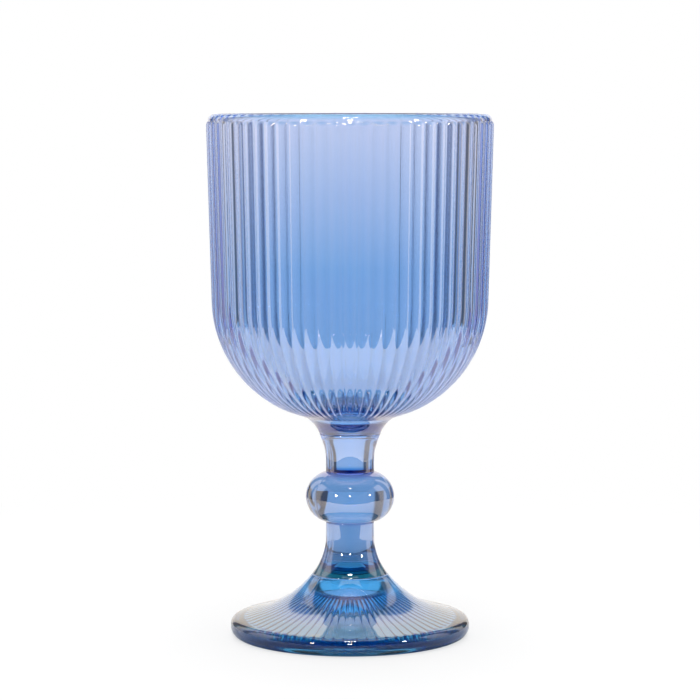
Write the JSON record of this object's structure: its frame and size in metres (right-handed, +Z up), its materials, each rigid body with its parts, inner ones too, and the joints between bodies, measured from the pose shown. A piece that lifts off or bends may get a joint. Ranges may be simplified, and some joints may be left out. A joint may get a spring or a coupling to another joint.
{
  "type": "ribbed stemmed glass",
  "caption": "Stemmed glass with a deep round-bottomed ribbed bowl, a stem with a rounded knop, and a flared foot that is hollow and ribbed underneath.",
  "frame": {"origin": "centre of the ring that the foot stands on, at table height", "axes": "+Z up along the axis of the glass, from the foot to the lip; -Y to the front, where the crest of a rib lies"},
  "size_m": [0.0872, 0.0874, 0.16],
  "materials": {
    "bowl": "clear glass with a thin transparent blue coat outside, polished",
    "stem": "clear glass with a thin transparent blue coat, fire polished",
    "knop": "clear glass with a thin transparent blue coat, fire polished",
    "foot": "clear glass with a thin transparent blue coat, fire polished, ribbed underneath"
  },
  "bodies": {
    "root": {"bowl": "bowl", "upper_stem": "stem", "knop": "knop", "lower_stem": "stem", "foot": "foot"}
  },
  "joints": []
}
